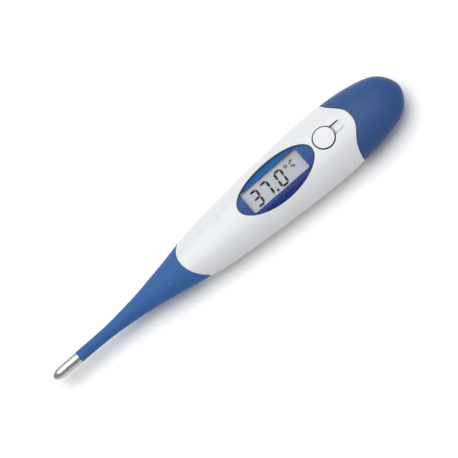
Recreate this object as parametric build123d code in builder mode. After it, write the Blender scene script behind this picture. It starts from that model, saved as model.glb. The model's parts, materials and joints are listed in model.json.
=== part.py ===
"""Digital stick thermometer with a flexible probe, modelled as its separate pieces.

Frame: millimetres, +X from the metal tip towards the battery cap, +Z out of the display. The origin is
the middle of the length, on the surface that the flat of the lower housing rests on. Places along the
thermometer are stations: distances from the end of the metal tip. Heights are from the long axis.
"""

import math
import os

from build123d import *

# ---------------------------------------------------------------- driving dimensions
LENGTH = 127.0
AXIS_Z = 5.75  # the long axis above the resting surface
WALL = 1.2  # housing wall
CAP_WALL = 1.3
RUNNING = 0.1  # clearance between pieces that move past each other
SEAM = 0.06  # clearance at a closed seam

# Outer form: station, half width, rise above the long axis, drop below it
SECTIONS = [
    (9.25, 1.70, 1.70, 1.70),
    (15.0, 1.72, 1.72, 1.72),
    (21.0, 1.88, 1.85, 1.85),
    (27.0, 2.42, 2.30, 2.30),
    (33.0, 3.15, 2.80, 2.85),
    (39.0, 4.20, 3.35, 3.50),
    (45.0, 5.35, 3.90, 4.30),
    (51.0, 6.65, 4.45, 5.00),
    (57.0, 7.80, 4.95, 5.50),
    (63.0, 8.50, 5.30, 5.85),
    (72.0, 9.30, 5.65, 6.00),
    (83.0, 10.10, 5.97, 6.10),
    (93.0, 10.60, 6.25, 6.10),
    (101.0, 10.70, 6.40, 6.10),
    (107.0, 10.40, 6.30, 6.00),
    (112.0, 9.95, 6.00, 5.70),
    (116.5, 9.15, 5.45, 5.20),
    (120.5, 8.05, 4.70, 4.50),
    (123.5, 6.50, 3.75, 3.60),
    (125.6, 4.15, 2.40, 2.30),
    (126.7, 1.87, 1.08, 1.03),
    (LENGTH, 0.55, 0.32, 0.30),
]
THINNEST = 0.15  # a section smaller than this is left out of an inner form

# Metal tip
TIP_RADIUS = 1.7
TIP_LENGTH = 9.25
TIP_NOSE = 3.4
TIP_WALL = 0.2
BEAD_STATION = 1.2
BEAD_LENGTH = 1.7
BEAD_RADIUS = 0.5
POTTING_START = 0.6  # the front of the bead stands out of the potting
POTTING_END = 6.2
LEAD_INTO_BEAD = 0.25
FIT = 0.02  # clearance between pieces that touch

# Flexible probe: pivots along the long axis, from the root to the tip
PIVOTS = [36.0 - 3.5 * n for n in range(7)]
DOME_SHARE = 1.15  # radius of the domed end of a link over the half width at its pivot
LINK_GAP = 0.08
BORE_RADIUS = 0.85
LEAD_RADIUS = 0.2
LEAD_SPREAD = 0.34
SPIGOT_RADIUS = TIP_RADIUS - TIP_WALL - 0.05
SPIGOT_START = POTTING_END + 0.3
CORE_RADIUS = 2.8  # solid middle of the root, inside the housing
ROOT_END = 58.0
FLANGE_GROOVE = (54.5, 56.0)
FLANGE_DEPTH = 0.9
CAVITY_START = 44.0

# Rounding of the housing's visible rims
FRONT_ROUND = 0.3
CAP_ROUND = 0.15
WINDOW_ROUND = 0.12
OPENING_ROUND = 0.12
RIM_MARGIN = 0.03  # how near to a station an edge of a rim begins or ends

# Seams of the white housing, seen from above
FRONT_ARC_RADIUS = 7.6
FRONT_ARC_STATION = 55.5
CAP_SEAM = [(0.0, 111.1), (2.6, 110.6), (4.9, 109.0), (7.2, 107.3), (10.1, 106.1)]
CAP_SEAM_EDGE = 16.0  # how far the seam curve runs past the sides

# Neck that the cap slides over
NECK_INSET = CAP_WALL + 0.12
NECK_WALL = 1.0
NECK_START = 103.0
NECK_END = 113.2
SEAL_STATION = 111.9
SEAL_WIDTH = 0.8
SEAL_GROOVE = 0.55
HALF_SEAM = 0.03  # between the two halves of the housing
LIP_HEIGHT = 0.7
LIP_STATIONS = (59.0, 102.0)
RIB = 0.9
RIB_STATIONS = (68.5, 90.0, 101.2)

# Display
WINDOW_STATION = 83.35
LENS_LENGTH = 26.9
LENS_WIDTH = 12.8
LENS_THICKNESS = 0.75
MASK_THICKNESS = 0.1
LENS_GAP = 0.1  # all round, halved between the lens and the housing
VIEW_STATION = 83.0
VIEW_SIDE = 0.3  # the display lies a little to the far side of the long axis
VIEW_LENGTH = 20.2
VIEW_WIDTH = 7.4
LEDGE_WIDTH = 0.5
PAD_THICKNESS = 1.25
PAD_MARGIN = 1.0
LCD_LENGTH = 22.0
LCD_WIDTH = 8.4
LCD_TOP = 3.65
FILM = 0.12
GLASS = 0.55
LCD_LEDGE = 0.75  # bare edge of the front glass, where its contacts are
FRAME_WALL = 0.7
FRAME_TOP = 3.2
PEG_RADIUS = 0.35

# Circuit board and what it carries
BOARD_START = 60.0
BOARD_END = 105.5
BOARD_WIDTH = 11.6
BOARD_THICKNESS = 0.8
BOARD_TOP = -0.8
BOARD_BOTTOM = BOARD_TOP - BOARD_THICKNESS
CHIP_STATION = 83.0
CHIP_RADIUS = 2.3
CHIP_HEIGHT = 0.9
# Small parts on the board: station, Y, length, width, height
COMPONENTS = [
    (67.4, 3.2, 1.6, 0.8, 0.45),
    (67.4, -3.2, 1.6, 0.8, 0.45),
    (69.6, 3.2, 1.6, 0.8, 0.8),
    (69.6, -3.2, 1.0, 0.5, 0.35),
    (97.4, 4.3, 0.8, 1.6, 0.8),
    (97.4, -4.3, 0.8, 1.6, 0.45),
    (99.0, -4.3, 0.8, 1.6, 0.45),
]
BUZZER_STATION = 74.0
BUZZER_RADIUS = 4.8
BUZZER_TOP = -1.95

# Power key, moulded with a spring arm
KEY_STATION = 101.2
KEY_RADIUS = 3.15
KEY_GAP = 0.3
KEY_ROUND = 0.12  # rounding of the key's rim
KEY_PROUD = 0.2
KEY_DEPTH = 1.2
ARM_WIDTH = 2.5
ARM_SLOTS = (-0.15, 0.35)  # open beside the arm, on the near and on the far side
ARM_GAP = 0.05  # where the arm meets the housing
ARM_DEPTH = 1.35
ARM_END = 107.3
GROOVE_RADIUS = 2.4
GROOVE_START = (104.0, 5.55)
GROOVE_END = (109.2, 6.2)
PLUNGER_RADIUS = 1.0
DOME_RADIUS = 2.0
DOME_HEIGHT = 0.45
DOME_SHEET = 0.1
PLUNGER_BOTTOM = BOARD_TOP + DOME_HEIGHT + 0.1

# Button cell and its bay
CELL_STATION = 112.6
CELL_RADIUS = 3.95
CELL_TOP = 1.95
CELL_BOTTOM = -1.65
CELL_WALL = 0.25
CELL_CAP_RADIUS = 2.9
BAY_START = 105.5
BAY_FRONT = 107.7
BAY_END = 118.2
BAY_HALF_WIDTH = 4.7
BAY_WALL = 0.6
BAY_FLOOR = -2.5
BAY_FLOOR_TOP = -1.95
BAY_TOP = 2.6
KEEPER_EDGE = 3.3  # the keepers over the cell reach in to here
CHASSIS_START = 66.0
CHASSIS_HALF_WIDTH = 6.0
CHASSIS_BOTTOM = -2.5
RAIL = 0.5
STRIP = 0.15  # sheet of the battery contacts
POSITIVE_ROUTE = [(103.4, -0.72), (105.9, -0.72), (106.7, 0.4), (108.0, 0.4), (108.55, 0.9)]
NEGATIVE_ROUTE = [(105.6, -0.8), (105.6, -1.86), (109.0, -1.86), (112.6, -1.73), (115.0, -1.86)]

HUGE = 60.0  # reaches past the thermometer

os.makedirs("parts", exist_ok=True)


def x_at(station):
    """X of a station."""
    return station - LENGTH / 2


def z_at(height):
    """Z of a height from the long axis."""
    return AXIS_Z + height


def half_width_at(station):
    """Half width of the outer form at a station, straight between the sections."""
    for (a, wide_a, _, _), (b, wide_b, _, _) in zip(SECTIONS, SECTIONS[1:]):
        if a <= station <= b:
            return wide_a + (wide_b - wide_a) * (station - a) / (b - a)
    return SECTIONS[0][1]


LONG_AXIS = Axis((0, 0, AXIS_Z), (1, 0, 0))
# Sketches in (station, height), with the sketch's normal towards -Y
SIDE_VIEW = Plane(origin=(x_at(0), 0, AXIS_Z), x_dir=(1, 0, 0), z_dir=(0, -1, 0))


def plan_view(height):
    """Sketches in (station, Y) at a height, with the normal up."""
    return Plane(origin=(x_at(0), 0, z_at(height)))


forms = {}


def form(inset):
    """The outer form as one solid, taken in by inset all round: a loft through half-ellipse pairs."""
    if inset not in forms:
        with BuildPart() as body:
            for station, wide, rise, drop in SECTIONS:
                if min(wide, rise, drop) - inset < THINNEST:
                    continue
                across = Plane(
                    origin=(x_at(station), 0, AXIS_Z), x_dir=(0, 1, 0), z_dir=(1, 0, 0)
                )
                with BuildSketch(across):
                    with BuildLine():
                        EllipticalCenterArc(
                            (0, 0), wide - inset, rise - inset, start_angle=0, arc_size=180
                        )
                        EllipticalCenterArc(
                            (0, 0), wide - inset, drop - inset, start_angle=180, arc_size=180
                        )
                    make_face()
            loft()
        forms[inset] = body.part
    return forms[inset]


def slab(first, last, low=-HUGE, high=HUGE, half_width=HUGE):
    """Block between two stations and two heights, centred on the long axis."""
    with BuildPart() as block:
        with Locations((x_at((first + last) / 2), 0, z_at((low + high) / 2))):
            Box(last - first, 2 * half_width, high - low)
    return block.part


def ring(outer_inset, inner_inset, first, last):
    """Hoop that follows the outer form between two stations."""
    with BuildPart() as hoop:
        add(form(outer_inset))
        add(slab(first, last), mode=Mode.INTERSECT)
        add(form(inner_inset), mode=Mode.SUBTRACT)
    return hoop.part


def upright_ellipse(length, width, station=WINDOW_STATION):
    """Elliptical column through the top half of the thermometer."""
    with BuildPart() as column:
        with BuildSketch(plan_view(1.0)):
            with Locations((station, 0)):
                Ellipse(length / 2, width / 2)
        extrude(amount=HUGE)
    return column.part


def housing_region(gap):
    """Everything behind the round front seam, which is an arc seen from above."""
    with BuildPart() as region:
        with BuildSketch(plan_view(-HUGE / 2)):
            with Locations((FRONT_ARC_STATION, 0)):
                Circle(FRONT_ARC_RADIUS + gap)
                Rectangle(2 * HUGE, HUGE, align=(Align.MIN, Align.CENTER))
        extrude(amount=HUGE)
    return region.part


def cap_region(gap):
    """Everything behind the waved cap seam, moved back by gap."""
    side = CAP_SEAM[-1][1]
    bell = [(side + gap, -CAP_SEAM_EDGE)]
    bell += [(station + gap, -across) for across, station in reversed(CAP_SEAM)]
    bell += [(station + gap, across) for across, station in CAP_SEAM[1:]]
    bell += [(side + gap, CAP_SEAM_EDGE)]
    with BuildPart() as region:
        with BuildSketch(plan_view(-HUGE / 2)):
            with BuildLine():
                Spline(bell)
                Polyline(
                    bell[-1], (2 * LENGTH, CAP_SEAM_EDGE), (2 * LENGTH, -CAP_SEAM_EDGE), bell[0]
                )
            make_face()
        extrude(amount=HUGE)
    return region.part


# ---------------------------------------------------------------- metal tip and sensor
with BuildPart() as probe_tip:
    with BuildSketch(SIDE_VIEW):
        with BuildLine():
            EllipticalCenterArc(
                (TIP_NOSE, 0), TIP_NOSE, TIP_RADIUS, start_angle=90, arc_size=90
            )
            EllipticalCenterArc(
                (TIP_NOSE, 0),
                TIP_NOSE - TIP_WALL,
                TIP_RADIUS - TIP_WALL,
                start_angle=90,
                arc_size=90,
            )
            Line((0, 0), (TIP_WALL, 0))
            Polyline(
                (TIP_NOSE, TIP_RADIUS),
                (TIP_LENGTH, TIP_RADIUS),
                (TIP_LENGTH, TIP_RADIUS - TIP_WALL),
                (TIP_NOSE, TIP_RADIUS - TIP_WALL),
            )
        make_face()
    revolve(axis=LONG_AXIS)
probe_tip.part.label = "probe_tip"
export_step(probe_tip.part, "parts/probe_tip.step")

with BuildPart() as thermistor:
    with BuildSketch(SIDE_VIEW):
        with Locations((BEAD_STATION, 0)):
            Ellipse(BEAD_LENGTH / 2, BEAD_RADIUS)
        with Locations((BEAD_STATION, -HUGE / 2)):
            Rectangle(HUGE, HUGE, mode=Mode.SUBTRACT)
    revolve(axis=LONG_AXIS)
thermistor.part.label = "thermistor"
export_step(thermistor.part, "parts/thermistor.step")


def lead_pair(first, last, radius=LEAD_RADIUS):
    """Two straight wires side by side along the probe."""
    with BuildPart() as pair:
        with BuildSketch(Plane.YZ.offset(x_at(first))):
            with Locations((-LEAD_SPREAD, AXIS_Z), (LEAD_SPREAD, AXIS_Z)):
                Circle(radius)
        extrude(amount=last - first)
    return pair.part


LEAD_START = BEAD_STATION + BEAD_LENGTH / 2 - LEAD_INTO_BEAD
with BuildPart() as sensor_room:
    with BuildSketch(SIDE_VIEW):
        with Locations((BEAD_STATION, 0)):
            Ellipse(BEAD_LENGTH / 2 + FIT / 2, BEAD_RADIUS + FIT / 2)
        with Locations((BEAD_STATION, -HUGE / 2)):
            Rectangle(HUGE, HUGE, mode=Mode.SUBTRACT)
    revolve(axis=LONG_AXIS)
    add(lead_pair(LEAD_START, POTTING_END + 1, LEAD_RADIUS + FIT / 2))

with BuildPart() as tip_potting:
    with BuildSketch(SIDE_VIEW):
        with BuildLine():
            EllipticalCenterArc(
                (TIP_NOSE, 0),
                TIP_NOSE - TIP_WALL - FIT,
                TIP_RADIUS - TIP_WALL - FIT,
                start_angle=90,
                arc_size=90,
            )
            Polyline(
                (TIP_NOSE, TIP_RADIUS - TIP_WALL - FIT),
                (POTTING_END, TIP_RADIUS - TIP_WALL - FIT),
                (POTTING_END, 0),
                (TIP_WALL + FIT, 0),
            )
        make_face()
    revolve(axis=LONG_AXIS)
    add(sensor_room.part, mode=Mode.SUBTRACT)
    add(slab(-1, POTTING_START), mode=Mode.SUBTRACT)
tip_potting.part.label = "tip_potting"
export_step(tip_potting.part, "parts/tip_potting.step")

# ---------------------------------------------------------------- flexible probe
# Each link ends in a dome about one pivot and starts in a cup about the next, so that it can turn
# about either without a gap in the moulding.


def rootward(pivot, gap):
    """Everything on the housing's side of a link's domed end."""
    with BuildPart() as side:
        with Locations((x_at(pivot + HUGE), 0, AXIS_Z)):
            Box(2 * HUGE, HUGE, HUGE)
        with Locations((x_at(pivot), 0, AXIS_Z)):
            Sphere(DOME_SHARE * half_width_at(pivot) + gap)
    return side.part


with BuildPart() as moulding:
    add(form(0))
    add(slab(TIP_LENGTH, FRONT_ARC_STATION), mode=Mode.INTERSECT)
    add(housing_region(SEAM), mode=Mode.SUBTRACT)
    add(ring(WALL + RUNNING, WALL + FLANGE_DEPTH, CAVITY_START, ROOT_END))
    with Locations((x_at((CAVITY_START + ROOT_END) / 2), 0, AXIS_Z)):
        Cylinder(CORE_RADIUS, ROOT_END - CAVITY_START, rotation=(0, 90, 0))
    add(ring(0, WALL + FLANGE_DEPTH, *FLANGE_GROOVE), mode=Mode.SUBTRACT)
    with Locations((x_at(SPIGOT_START), 0, AXIS_Z)):
        Cylinder(
            SPIGOT_RADIUS,
            TIP_LENGTH + 1 - SPIGOT_START,
            rotation=(0, 90, 0),
            align=(Align.CENTER, Align.CENTER, Align.MIN),
        )
    with Locations((x_at(HUGE / 2), 0, AXIS_Z)):
        Cylinder(BORE_RADIUS, 2 * HUGE, rotation=(0, 90, 0), mode=Mode.SUBTRACT)

with BuildPart() as flexible_probe_root:
    add(moulding.part)
    add(rootward(PIVOTS[0], 0), mode=Mode.INTERSECT)
flexible_probe_root.part.label = "flexible_probe_root"
export_step(flexible_probe_root.part, "parts/flexible_probe_root.step")

with BuildPart() as flexible_probe_end:
    add(moulding.part)
    add(rootward(PIVOTS[-1], LINK_GAP), mode=Mode.SUBTRACT)
flexible_probe_end.part.label = "flexible_probe_end"
export_step(flexible_probe_end.part, "parts/flexible_probe_end.step")

straight_leads = lead_pair(LEAD_START, ROOT_END)
for number, (rear, front) in enumerate(zip(PIVOTS, PIVOTS[1:]), start=1):
    with BuildPart() as flexible_probe_link:
        add(moulding.part)
        add(rootward(rear, LINK_GAP), mode=Mode.SUBTRACT)
        add(rootward(front, 0), mode=Mode.INTERSECT)
    flexible_probe_link.part.label = f"flexible_probe_link_{number}"
    export_step(flexible_probe_link.part, f"parts/flexible_probe_link_{number}.step")

    with BuildPart() as sensor_leads_link:
        add(straight_leads)
        add(rootward(rear, LINK_GAP), mode=Mode.SUBTRACT)
        add(rootward(front, 0), mode=Mode.INTERSECT)
    sensor_leads_link.part.label = f"sensor_leads_link_{number}"
    export_step(sensor_leads_link.part, f"parts/sensor_leads_link_{number}.step")

with BuildPart() as sensor_leads_end:
    add(straight_leads)
    add(rootward(PIVOTS[-1], LINK_GAP), mode=Mode.SUBTRACT)
    add(thermistor.part, mode=Mode.SUBTRACT)
sensor_leads_end.part.label = "sensor_leads_end"
export_step(sensor_leads_end.part, "parts/sensor_leads_end.step")

LEAD_PAD = BOARD_TOP + LEAD_RADIUS + 0.02
with BuildPart() as sensor_leads_root:
    for side in (-1, 1):
        route = [
            (x_at(30.0), side * LEAD_SPREAD, AXIS_Z),
            (x_at(58.2), side * LEAD_SPREAD, AXIS_Z),
            (x_at(61.0), side * 1.5, z_at(LEAD_PAD)),
            (x_at(64.0), side * 1.9, z_at(LEAD_PAD)),
        ]
        with BuildLine():
            path = FilletPolyline(*route, radius=[2.2, 1.6])
        with BuildSketch(Plane(origin=route[0], z_dir=(1, 0, 0))):
            Circle(LEAD_RADIUS)
        sweep(path=path)
    add(rootward(PIVOTS[0], 0), mode=Mode.INTERSECT)
sensor_leads_root.part.label = "sensor_leads_root"
export_step(sensor_leads_root.part, "parts/sensor_leads_root.step")

# ---------------------------------------------------------------- housing
with BuildPart() as key_opening:
    with BuildSketch(plan_view(2.0)):
        with Locations((KEY_STATION, 0)):
            Circle(KEY_RADIUS + KEY_GAP)
    extrude(amount=HUGE)

with BuildPart() as arm_opening:
    with BuildSketch(plan_view(2.0)):
        with Locations((KEY_STATION, -ARM_WIDTH / 2 + ARM_SLOTS[0])):
            Rectangle(
                ARM_END + ARM_GAP - KEY_STATION,
                ARM_WIDTH + ARM_SLOTS[1] - ARM_SLOTS[0],
                align=(Align.MIN, Align.MIN),
            )
    extrude(amount=HUGE)

# Shallow round groove that the spring arm lies in. It runs out towards the cap.
groove_slope = math.degrees(
    math.atan2(GROOVE_END[1] - GROOVE_START[1], GROOVE_END[0] - GROOVE_START[0])
)
with BuildPart() as arm_groove:
    with Locations((x_at(GROOVE_START[0]), 0, z_at(GROOVE_START[1] + GROOVE_RADIUS))):
        Cylinder(
            GROOVE_RADIUS,
            12.0,
            rotation=(0, 90 - groove_slope, 0),
            align=(Align.CENTER, Align.CENTER, Align.MIN),
        )


def stretch(inset, first, last):
    """The form taken in by inset, between two stations."""
    with BuildPart() as length_of_form:
        add(form(inset))
        add(slab(first, last), mode=Mode.INTERSECT)
    return length_of_form.part


def hollow(clearance):
    """The room inside the housing, narrower where the neck for the cap begins."""
    with BuildPart() as room:
        add(stretch(WALL + clearance, CAVITY_START, NECK_START - clearance))
        add(stretch(NECK_INSET + NECK_WALL + clearance, CAVITY_START, NECK_END + 1))
    return room.part


seal_front = SEAL_STATION - SEAL_WIDTH / 2
seal_rear = SEAL_STATION + SEAL_WIDTH / 2
with BuildPart() as shell:
    add(form(0))
    add(housing_region(0), mode=Mode.INTERSECT)
    add(cap_region(-SEAM), mode=Mode.SUBTRACT)
    add(ring(NECK_INSET, NECK_INSET + NECK_WALL, NECK_START, NECK_END))
    add(hollow(0), mode=Mode.SUBTRACT)
    add(
        ring(
            WALL - 0.1,
            WALL + FLANGE_DEPTH - RUNNING,
            FLANGE_GROOVE[0] + RUNNING,
            FLANGE_GROOVE[1] - RUNNING,
        )
    )
    add(
        ring(0.3, NECK_INSET + SEAL_GROOVE, seal_front - 0.05, seal_rear + 0.05),
        mode=Mode.SUBTRACT,
    )

with BuildPart() as lip:
    add(ring(WALL / 2 + 0.05, WALL, *LIP_STATIONS))
    add(slab(*LIP_STATIONS, low=-0.1, high=LIP_HEIGHT), mode=Mode.INTERSECT)

with BuildPart() as lip_rebate:
    add(ring(WALL / 2, WALL + 0.2, LIP_STATIONS[0] - RUNNING, LIP_STATIONS[1] + RUNNING))
    add(slab(0, LENGTH, low=-0.1, high=LIP_HEIGHT + RUNNING), mode=Mode.INTERSECT)

with BuildPart() as window_pad:
    add(form(WALL - 0.1))
    add(
        upright_ellipse(LENS_LENGTH + 2 * PAD_MARGIN, LENS_WIDTH + 2 * PAD_MARGIN),
        mode=Mode.INTERSECT,
    )
    add(form(PAD_THICKNESS), mode=Mode.SUBTRACT)

with BuildPart() as window_rebate:
    add(form(-1.0))
    add(upright_ellipse(LENS_LENGTH + LENS_GAP, LENS_WIDTH + LENS_GAP), mode=Mode.INTERSECT)
    add(form(LENS_THICKNESS + MASK_THICKNESS + 0.06), mode=Mode.SUBTRACT)

with BuildPart() as window_hole:
    with BuildSketch(plan_view(1.0)):
        with Locations((WINDOW_STATION, 0)):
            Ellipse(LENS_LENGTH / 2 - LEDGE_WIDTH, LENS_WIDTH / 2 - LEDGE_WIDTH)
        with Locations((VIEW_STATION, VIEW_SIDE)):
            Rectangle(VIEW_LENGTH + 0.5, VIEW_WIDTH + 0.5, mode=Mode.INTERSECT)
    extrude(amount=HUGE)


def rim(body, station, side=1):
    """The highest, or with side -1 the lowest, of the edges that begin or end at a station."""
    near = []
    for edge in body.edges():
        box = edge.bounding_box()
        if min(abs(box.min.X - x_at(station)), abs(box.max.X - x_at(station))) < RIM_MARGIN:
            near.append(edge)
    if side > 0:
        return max(near, key=lambda edge: edge.bounding_box().max.Z)
    return min(near, key=lambda edge: edge.bounding_box().min.Z)


FRONT_RIM = FRONT_ARC_STATION - FRONT_ARC_RADIUS
CAP_RIM = CAP_SEAM[0][1] - SEAM
WINDOW_RIM = WINDOW_STATION - LENS_LENGTH / 2 - LENS_GAP / 2
OPENING_RIM = KEY_STATION - KEY_RADIUS - KEY_GAP

with BuildPart() as upper_housing:
    add(shell.part)
    add(slab(-1, LENGTH + 1, low=0), mode=Mode.INTERSECT)
    add(lip_rebate.part, mode=Mode.SUBTRACT)
    add(window_pad.part)
    add(window_rebate.part, mode=Mode.SUBTRACT)
    add(window_hole.part, mode=Mode.SUBTRACT)
    add(key_opening.part, mode=Mode.SUBTRACT)
    fillet(rim(upper_housing, FRONT_RIM), FRONT_ROUND)
    fillet(rim(upper_housing, CAP_RIM), CAP_ROUND)
    fillet(rim(upper_housing, WINDOW_RIM), WINDOW_ROUND)
    fillet(rim(upper_housing, OPENING_RIM), OPENING_ROUND)
    add(arm_opening.part, mode=Mode.SUBTRACT)
    add(arm_groove.part, mode=Mode.SUBTRACT)
upper_housing.part.label = "upper_housing"
export_step(upper_housing.part, "parts/upper_housing.step")

with BuildPart() as rib_walls:
    for station in RIB_STATIONS:
        add(slab(station - RIB / 2, station + RIB / 2, high=CHASSIS_BOTTOM - 0.02))

with BuildPart() as ribs:
    add(form(WALL - 0.1))
    add(rib_walls.part, mode=Mode.INTERSECT)

with BuildPart() as lower_housing:
    add(shell.part)
    add(slab(-1, LENGTH + 1, high=-HALF_SEAM), mode=Mode.INTERSECT)
    fillet(rim(lower_housing, FRONT_RIM, side=-1), FRONT_ROUND)
    fillet(rim(lower_housing, CAP_RIM, side=-1), CAP_ROUND)
    add(lip.part)
    add(ribs.part)
    with Locations((0, 0, 0)):
        Box(3 * LENGTH, HUGE, HUGE, align=(Align.CENTER, Align.CENTER, Align.MAX), mode=Mode.SUBTRACT)
lower_housing.part.label = "lower_housing"
export_step(lower_housing.part, "parts/lower_housing.step")

# ---------------------------------------------------------------- display
with BuildPart() as display_lens:
    add(form(0))
    add(upright_ellipse(LENS_LENGTH - LENS_GAP, LENS_WIDTH - LENS_GAP), mode=Mode.INTERSECT)
    add(form(LENS_THICKNESS), mode=Mode.SUBTRACT)
display_lens.part.label = "display_lens"
export_step(display_lens.part, "parts/display_lens.step")

with BuildPart() as window_mask:
    add(form(LENS_THICKNESS + 0.02))
    add(upright_ellipse(LENS_LENGTH - 2 * LENS_GAP, LENS_WIDTH - 2 * LENS_GAP), mode=Mode.INTERSECT)
    add(form(LENS_THICKNESS + MASK_THICKNESS), mode=Mode.SUBTRACT)
    with BuildSketch(plan_view(1.0)):
        with Locations((VIEW_STATION, VIEW_SIDE)):
            RectangleRounded(VIEW_LENGTH, VIEW_WIDTH, 0.5)
    extrude(amount=HUGE, mode=Mode.SUBTRACT)
window_mask.part.label = "window_mask"
export_step(window_mask.part, "parts/window_mask.step")


def plate(first, last, right, left, low, high, corner=0):
    """Flat plate between two stations, two Y limits and two heights."""
    with BuildPart() as sheet:
        with BuildSketch(plan_view(low)):
            with Locations(((first + last) / 2, (right + left) / 2)):
                if corner:
                    RectangleRounded(last - first, left - right, corner)
                else:
                    Rectangle(last - first, left - right)
        extrude(amount=high - low)
    return sheet.part


lcd_front = VIEW_STATION - LCD_LENGTH / 2
lcd_rear = VIEW_STATION + LCD_LENGTH / 2
lcd_near = VIEW_SIDE - LCD_WIDTH / 2
lcd_far = VIEW_SIDE + LCD_WIDTH / 2
glass_top = LCD_TOP - FILM
glass_joint = glass_top - GLASS
glass_bottom = glass_joint - GLASS
lcd_bottom = glass_bottom - FILM

with BuildPart() as lcd_front_polariser:
    add(plate(lcd_front + 0.4, lcd_rear - 0.4, lcd_near + 0.2, lcd_far - 0.2, glass_top, LCD_TOP))
lcd_front_polariser.part.label = "lcd_front_polariser"
export_step(lcd_front_polariser.part, "parts/lcd_front_polariser.step")

with BuildPart() as lcd_front_glass:
    add(plate(lcd_front, lcd_rear, lcd_near, lcd_far, glass_joint, glass_top))
lcd_front_glass.part.label = "lcd_front_glass"
export_step(lcd_front_glass.part, "parts/lcd_front_glass.step")

# The rear glass is narrower, so that the rubber connector can reach the front glass
with BuildPart() as lcd_rear_glass:
    add(plate(lcd_front, lcd_rear, lcd_near + LCD_LEDGE, lcd_far, glass_bottom, glass_joint))
lcd_rear_glass.part.label = "lcd_rear_glass"
export_step(lcd_rear_glass.part, "parts/lcd_rear_glass.step")

with BuildPart() as lcd_reflector:
    add(
        plate(
            lcd_front + 0.4,
            lcd_rear - 0.4,
            lcd_near + LCD_LEDGE + 0.1,
            lcd_far - 0.2,
            lcd_bottom,
            glass_bottom,
        )
    )
lcd_reflector.part.label = "lcd_reflector"
export_step(lcd_reflector.part, "parts/lcd_reflector.step")

with BuildPart() as rubber_connector:
    add(
        plate(
            lcd_front + 1.2,
            lcd_rear - 1.2,
            lcd_near + 0.05,
            lcd_near + LCD_LEDGE - 0.1,
            BOARD_TOP,
            glass_joint,
        )
    )
rubber_connector.part.label = "rubber_connector"
export_step(rubber_connector.part, "parts/rubber_connector.step")

frame_front = lcd_front - 0.1 - FRAME_WALL
frame_rear = lcd_rear + 0.1 + FRAME_WALL
frame_near = lcd_near - 0.1 - FRAME_WALL
frame_far = lcd_far + 0.1 + FRAME_WALL
with BuildPart() as lcd_frame:
    add(plate(frame_front, frame_rear, frame_near, frame_far, BOARD_TOP, FRAME_TOP, 0.6))
    add(
        plate(
            lcd_front - 0.1,
            lcd_rear + 0.1,
            lcd_near - 0.1,
            lcd_far + 0.1,
            lcd_bottom - 0.01,
            FRAME_TOP + 1,
        ),
        mode=Mode.SUBTRACT,
    )
    add(
        plate(
            lcd_front + 0.7,
            lcd_rear - 0.7,
            lcd_near - 0.1,
            lcd_far + 0.1,
            BOARD_TOP - 1,
            FRAME_TOP,
        ),
        mode=Mode.SUBTRACT,
    )
    with BuildSketch(plan_view(BOARD_BOTTOM)):
        with Locations((frame_front + PEG_RADIUS, 0), (frame_rear - PEG_RADIUS, 0)):
            Circle(PEG_RADIUS)
    extrude(amount=BOARD_THICKNESS + 0.1)
lcd_frame.part.label = "lcd_frame"
export_step(lcd_frame.part, "parts/lcd_frame.step")

# ---------------------------------------------------------------- circuit board
with BuildPart() as circuit_board:
    with BuildSketch(plan_view(BOARD_BOTTOM)):
        with Locations(((BOARD_START + BOARD_END) / 2, 0)):
            RectangleRounded(BOARD_END - BOARD_START, BOARD_WIDTH, 1.0)
        with Locations((frame_front + PEG_RADIUS, 0), (frame_rear - PEG_RADIUS, 0)):
            Circle(PEG_RADIUS + 0.05, mode=Mode.SUBTRACT)
    extrude(amount=BOARD_THICKNESS)
circuit_board.part.label = "circuit_board"
export_step(circuit_board.part, "parts/circuit_board.step")

# Radius of the ball that a low dome is cut from
chip_ball = (CHIP_RADIUS**2 + CHIP_HEIGHT**2) / (2 * CHIP_HEIGHT)
with BuildPart() as controller_chip:
    with Locations((x_at(CHIP_STATION), 0, z_at(BOARD_TOP + CHIP_HEIGHT - chip_ball))):
        Sphere(chip_ball)
    add(slab(0, LENGTH, low=BOARD_TOP, high=FRAME_TOP), mode=Mode.INTERSECT)
controller_chip.part.label = "controller_chip"
export_step(controller_chip.part, "parts/controller_chip.step")

with BuildPart() as board_components:
    for station, across, long, wide, tall in COMPONENTS:
        with Locations((x_at(station), across, z_at(BOARD_TOP))):
            Box(long, wide, tall, align=(Align.CENTER, Align.CENTER, Align.MIN))
board_components.part.label = "board_components"
export_step(board_components.part, "parts/board_components.step")

dome_ball = (DOME_RADIUS**2 + DOME_HEIGHT**2) / (2 * DOME_HEIGHT)
with BuildPart() as switch_dome:
    with Locations((x_at(KEY_STATION), 0, z_at(BOARD_TOP + DOME_HEIGHT - dome_ball))):
        Sphere(dome_ball)
        Sphere(dome_ball - DOME_SHEET, mode=Mode.SUBTRACT)
    add(slab(0, LENGTH, low=BOARD_TOP, high=FRAME_TOP), mode=Mode.INTERSECT)
switch_dome.part.label = "switch_dome"
export_step(switch_dome.part, "parts/switch_dome.step")


def disc(station, radius, low, high):
    """Upright disc at a station."""
    with BuildPart() as puck:
        with BuildSketch(plan_view(low)):
            with Locations((station, 0)):
                Circle(radius)
        extrude(amount=high - low)
    return puck.part


with BuildPart() as buzzer_plate:
    add(disc(BUZZER_STATION, BUZZER_RADIUS, BUZZER_TOP - 0.15, BUZZER_TOP))
buzzer_plate.part.label = "buzzer_plate"
export_step(buzzer_plate.part, "parts/buzzer_plate.step")

with BuildPart() as buzzer_ceramic:
    add(disc(BUZZER_STATION, BUZZER_RADIUS - 1.2, BUZZER_TOP - 0.27, BUZZER_TOP - 0.15))
buzzer_ceramic.part.label = "buzzer_ceramic"
export_step(buzzer_ceramic.part, "parts/buzzer_ceramic.step")

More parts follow.
